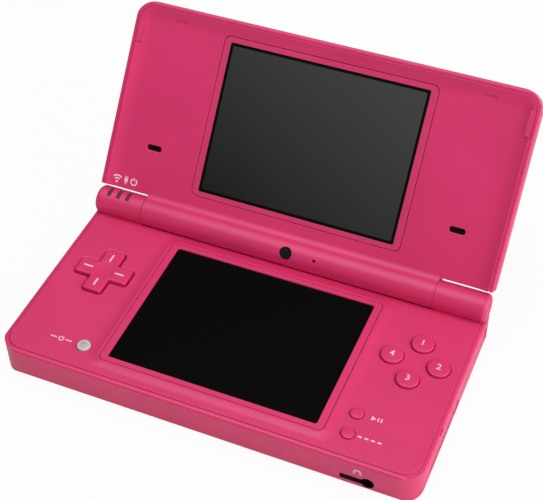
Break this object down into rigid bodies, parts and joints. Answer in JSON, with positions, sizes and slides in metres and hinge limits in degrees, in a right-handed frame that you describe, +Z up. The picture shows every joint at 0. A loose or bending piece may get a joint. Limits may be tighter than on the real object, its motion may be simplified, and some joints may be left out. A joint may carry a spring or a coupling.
{
  "type": "clamshell handheld game console",
  "caption": "Folding handheld game console: hinged lid with upper screen over a base with touch screen, direction pad, round buttons and stylus.",
  "frame": {"origin": "centre of the base's underside, on the surface it stands on", "axes": "+X to the user's right, +Y from the front edge to the hinge, +Z up"},
  "size_m": [0.1374, 0.1134, 0.0691],
  "materials": {
    "case_shell": "satin moulded plastic, magenta pink",
    "deck_shell": "satin moulded plastic, magenta pink",
    "button_cap": "satin moulded plastic, magenta pink",
    "power_cap": "satin silver grey plastic",
    "screen_black": "dark glossy panel",
    "lens_print": "clear lens printed pink behind its border",
    "display_module": "sealed display module",
    "rubber": "moulded silicone rubber",
    "bumper_rubber": "pink rubber",
    "board": "green solder resist",
    "battery": "dark grey wrapped cell",
    "steel": "plated steel",
    "brass": "thin plated contacts",
    "dark_plastic": "black moulded plastic",
    "stylus_plastic": "white plastic with a pink head",
    "light_pipe": "smoked clear plastic",
    "camera_glass": "dark camera window",
    "flex": "amber flexible circuit"
  },
  "bodies": {
    "base": {"base_housing": "case_shell", "base_deck": "deck_shell", "battery_cover": "case_shell", "battery_cover_screws": "steel", "battery_pack": "battery", "main_board": "board", "radio_module": "board", "antenna": "brass", "lower_lcd_tray": "steel", "lower_lcd": "display_module", "touch_panel": "screen_black", "lower_screen_frame": "deck_shell", "dpad_membrane": "rubber", "face_button_membrane": "rubber", "small_button_membranes": "rubber", "shoulder_pins": "steel", "shoulder_springs": "steel", "volume_pin": "steel", "stylus_silo": "dark_plastic", "memory_card_pin": "steel", "memory_card_reader": "steel", "game_card_reader": "dark_plastic", "charge_port": "dark_plastic", "headphone_socket": "dark_plastic", "base_screws": "steel", "rubber_pads": "bumper_rubber", "status_light_pipes": "light_pipe", "hinge_cartridge": "steel", "hinge_shaft": "steel"},
    "lid": {"lid_cover": "case_shell", "lid_frame": "deck_shell", "hinge_cam": "brass", "upper_lcd": "display_module", "upper_lens": "lens_print", "left_speaker": "dark_plastic", "right_speaker": "dark_plastic", "inner_camera": "dark_plastic", "inner_camera_window": "camera_glass", "microphone": "dark_plastic", "outer_camera": "camera_glass", "rim_bumpers": "bumper_rubber", "lid_screws": "steel", "lid_screw_covers": "deck_shell", "lid_flex_cable": "flex", "lid_magnet": "steel"},
    "dpad_pivot": {"dpad_pivot": "rubber"},
    "dpad": {"dpad": "button_cap"},
    "button_top": {"button_top": "button_cap"},
    "button_left": {"button_left": "button_cap"},
    "button_right": {"button_right": "button_cap"},
    "button_bottom": {"button_bottom": "button_cap"},
    "start_button": {"start_button": "button_cap"},
    "select_button": {"select_button": "button_cap"},
    "power_button": {"power_button": "power_cap"},
    "left_shoulder_button": {"left_shoulder_button": "case_shell"},
    "right_shoulder_button": {"right_shoulder_button": "case_shell"},
    "volume_rocker": {"volume_rocker": "case_shell"},
    "stylus": {"stylus": "stylus_plastic"},
    "memory_card_cover": {"memory_card_cover": "case_shell"}
  },
  "joints": [
    {"name": "lid_hinge", "type": "hinge", "parent": "base", "child": "lid", "pos_m": [0, 0.031, 0.0141], "axis": [-1, 0, 0], "range_deg": [-128, 52]},
    {"name": "button_top_press", "type": "slide", "parent": "base", "child": "button_top", "axis": [0, 0, -1], "range_m": [0, 0.0006], "stiffness_N_per_m": 600},
    {"name": "button_left_press", "type": "slide", "parent": "base", "child": "button_left", "axis": [0, 0, -1], "range_m": [0, 0.0006], "stiffness_N_per_m": 600},
    {"name": "button_right_press", "type": "slide", "parent": "base", "child": "button_right", "axis": [0, 0, -1], "range_m": [0, 0.0006], "stiffness_N_per_m": 600},
    {"name": "button_bottom_press", "type": "slide", "parent": "base", "child": "button_bottom", "axis": [0, 0, -1], "range_m": [0, 0.0006], "stiffness_N_per_m": 600},
    {"name": "start_button_press", "type": "slide", "parent": "base", "child": "start_button", "axis": [0, 0, -1], "range_m": [0, 0.0006], "stiffness_N_per_m": 600},
    {"name": "select_button_press", "type": "slide", "parent": "base", "child": "select_button", "axis": [0, 0, -1], "range_m": [0, 0.0006], "stiffness_N_per_m": 600},
    {"name": "power_button_press", "type": "slide", "parent": "base", "child": "power_button", "axis": [0, 0, -1], "range_m": [0, 0.0006], "stiffness_N_per_m": 600},
    {"name": "pad_tilt_front_back", "type": "hinge", "parent": "base", "child": "dpad_pivot", "pos_m": [-0.0522, 0.00267, 0.0091], "axis": [1, 0, 0], "range_deg": [-2, 2], "stiffness_Nm_per_rad": 0.2},
    {"name": "pad_tilt_sideways", "type": "hinge", "parent": "dpad_pivot", "child": "dpad", "pos_m": [-0.0522, 0.00267, 0.0091], "axis": [0, 1, 0], "range_deg": [-2, 2], "stiffness_Nm_per_rad": 0.2},
    {"name": "left_shoulder_press", "type": "hinge", "parent": "base", "child": "left_shoulder_button", "pos_m": [-0.0485, 0.0332, 0.0049], "axis": [0, 0, 1], "range_deg": [0, 3], "stiffness_Nm_per_rad": 0.3},
    {"name": "right_shoulder_press", "type": "hinge", "parent": "base", "child": "right_shoulder_button", "pos_m": [0.0485, 0.0332, 0.0049], "axis": [0, 0, -1], "range_deg": [0, 3], "stiffness_Nm_per_rad": 0.3},
    {"name": "volume_rock", "type": "hinge", "parent": "base", "child": "volume_rocker", "pos_m": [-0.0665, 0.00898, 0.0058], "axis": [0, 0, 1], "range_deg": [-2.5, 2.5], "stiffness_Nm_per_rad": 0.05},
    {"name": "stylus_draw", "type": "slide", "parent": "base", "child": "stylus", "axis": [1, 0, 0], "range_m": [0, 0.085]},
    {"name": "memory_cover_swing", "type": "hinge", "parent": "base", "child": "memory_card_cover", "pos_m": [0.06775, -0.017, 0.0041], "axis": [0, 1, 0], "range_deg": [0, 95]}
  ]
}
